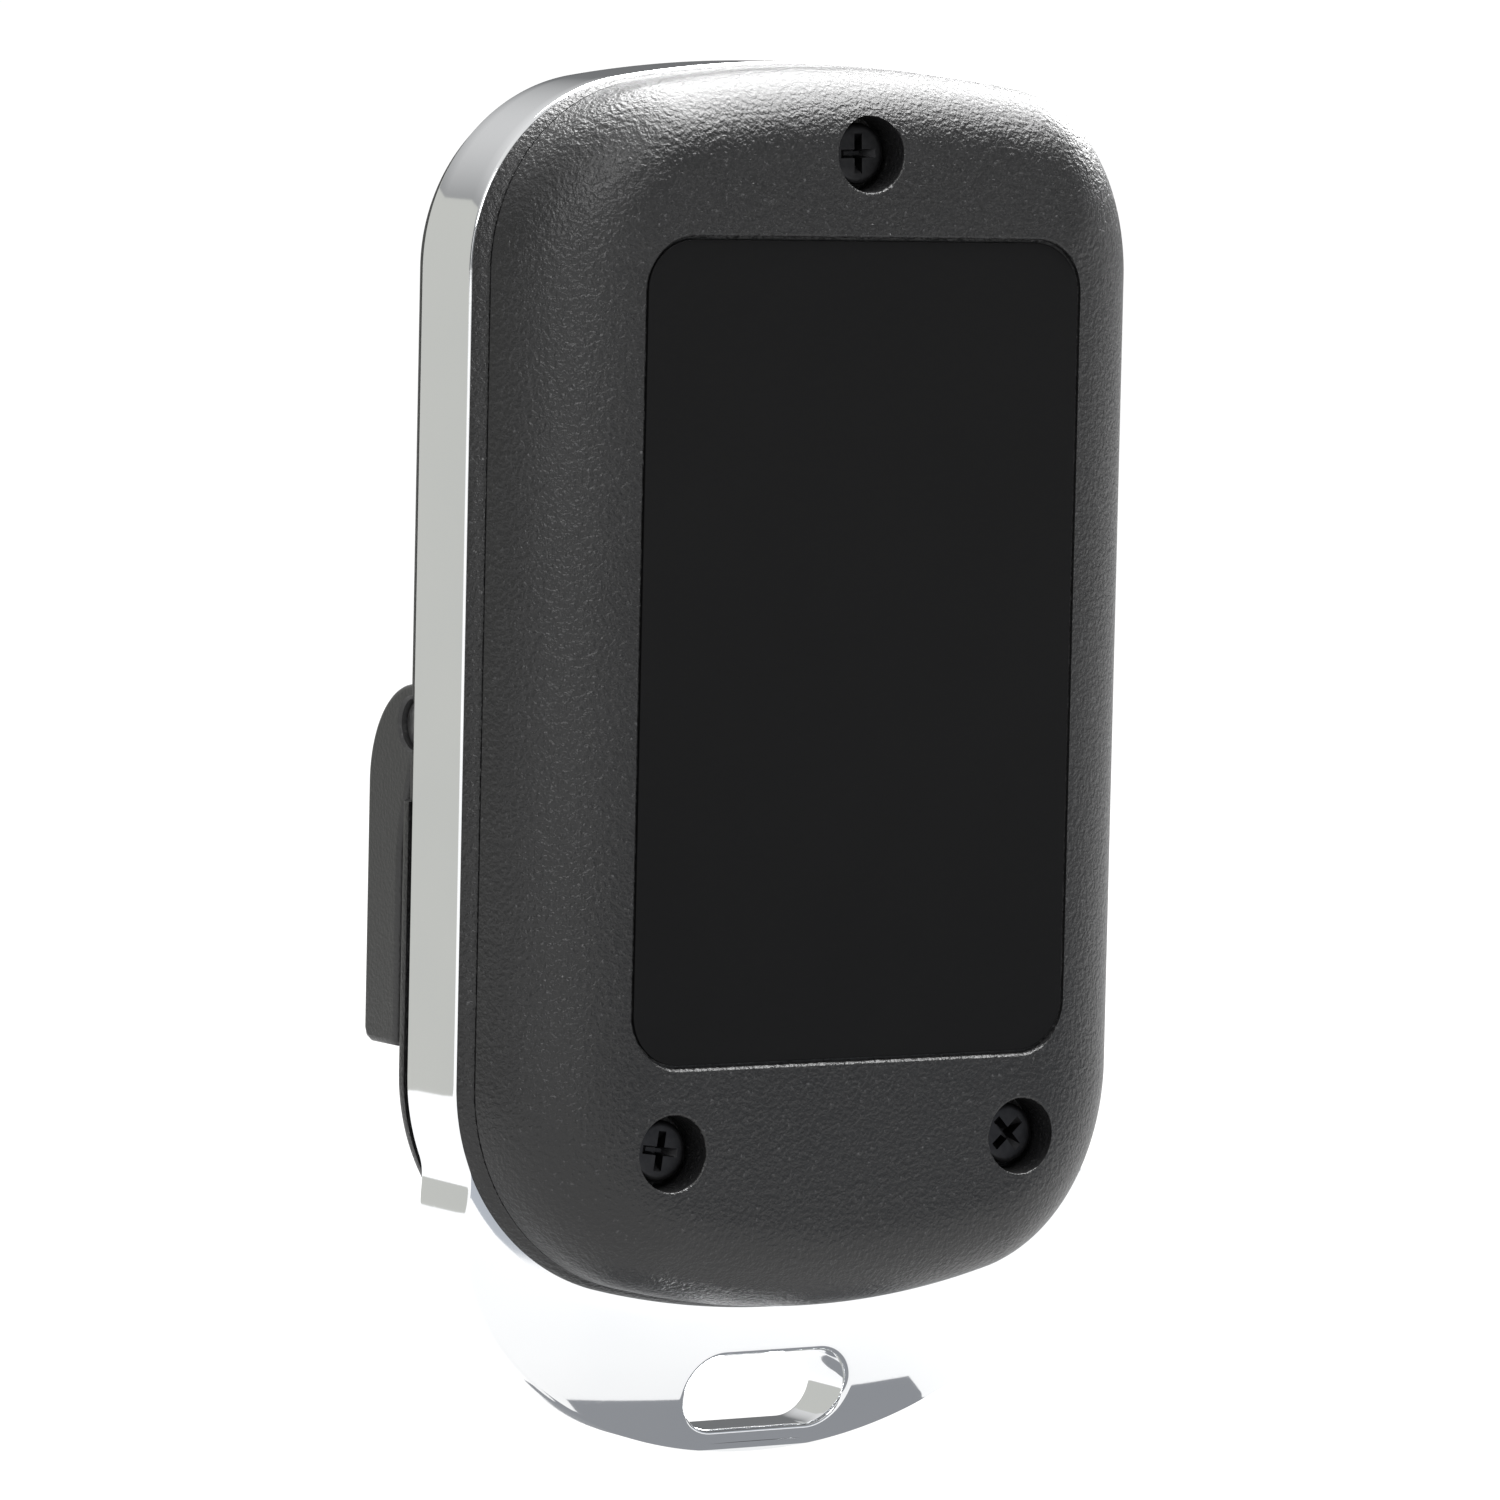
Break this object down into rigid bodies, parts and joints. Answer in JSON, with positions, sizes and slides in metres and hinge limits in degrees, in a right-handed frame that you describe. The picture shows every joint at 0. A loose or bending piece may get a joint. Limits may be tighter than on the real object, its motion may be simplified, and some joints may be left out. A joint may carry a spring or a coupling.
{
  "type": "pocket radio call fob",
  "caption": "Pocket radio call fob: black shells on a plated frame with a key ring slot, sprung keys, a lamp and a spring clip on a hinge pin.",
  "frame": {"origin": "centre of the bounding box's bottom face, under the tail with the key ring slot", "axes": "+Z from the tail up the length, +X across the width, +Y out of the flat screw side; the clip and keys face -Y"},
  "size_m": [0.0352, 0.0166, 0.0648],
  "materials": {
    "plated_frame": "polished bright plating",
    "textured_black": "fine spark-eroded grain, satin",
    "label_black": "flat printed film, blank",
    "screw_black": "black zinc",
    "clip_black": "moulded, lightly textured",
    "steel_pin": "ground steel",
    "spring_steel": "drawn wire",
    "key_grey": "moulded",
    "plunger_cream": "moulded",
    "switch_body": "moulded",
    "board_green": "solder mask",
    "cell_steel": "satin steel",
    "contact_metal": "plated strip",
    "chip_black": "moulded",
    "can_metal": "drawn shield",
    "copper_wire": "enamelled winding",
    "led_white": "moulded",
    "lens_red": "clear tinted"
  },
  "bodies": {
    "case": {"chrome_frame": "plated_frame", "rear_shell": "textured_black", "rear_label": "label_black", "front_shell": "textured_black", "case_screw_1": "screw_black", "case_screw_2": "screw_black", "case_screw_3": "screw_black", "clip_pin": "steel_pin", "clip_spring": "spring_steel", "switch_1": "switch_body", "switch_2": "switch_body", "switch_3": "switch_body", "switch_4": "switch_body", "circuit_board": "board_green", "coin_cell": "cell_steel", "cell_bridge": "contact_metal", "cell_pad": "contact_metal", "controller_chip": "chip_black", "radio_can": "can_metal", "timing_crystal": "can_metal", "antenna_coil": "copper_wire", "indicator_led": "led_white", "led_lens": "lens_red"},
    "clip": {"clip_lever": "clip_black"},
    "key_body_1": {"key_1": "key_grey", "plunger_1": "plunger_cream"},
    "key_body_2": {"key_2": "key_grey", "plunger_2": "plunger_cream"},
    "key_body_3": {"key_3": "key_grey", "plunger_3": "plunger_cream"},
    "key_body_4": {"key_4": "key_grey", "plunger_4": "plunger_cream"}
  },
  "joints": [
    {"name": "clip_hinge", "type": "hinge", "parent": "case", "child": "clip", "pos_m": [0, -0.0042, 0.03405], "axis": [-1, 0, 0], "range_deg": [0, 24], "stiffness_Nm_per_rad": 0.06, "springref_deg": -17.19, "deforming": ["clip_spring"]},
    {"name": "key_press_1", "type": "slide", "parent": "case", "child": "key_body_1", "axis": [0, 1, 0], "range_m": [0, 0.0003], "stiffness_N_per_m": 600, "springref_m": -0.0008},
    {"name": "key_press_2", "type": "slide", "parent": "case", "child": "key_body_2", "axis": [0, 1, 0], "range_m": [0, 0.0003], "stiffness_N_per_m": 600, "springref_m": -0.0008},
    {"name": "key_press_3", "type": "slide", "parent": "case", "child": "key_body_3", "axis": [0, 1, 0], "range_m": [0, 0.0003], "stiffness_N_per_m": 600, "springref_m": -0.0008},
    {"name": "key_press_4", "type": "slide", "parent": "case", "child": "key_body_4", "axis": [0, 1, 0], "range_m": [0, 0.0003], "stiffness_N_per_m": 600, "springref_m": -0.0008}
  ]
}
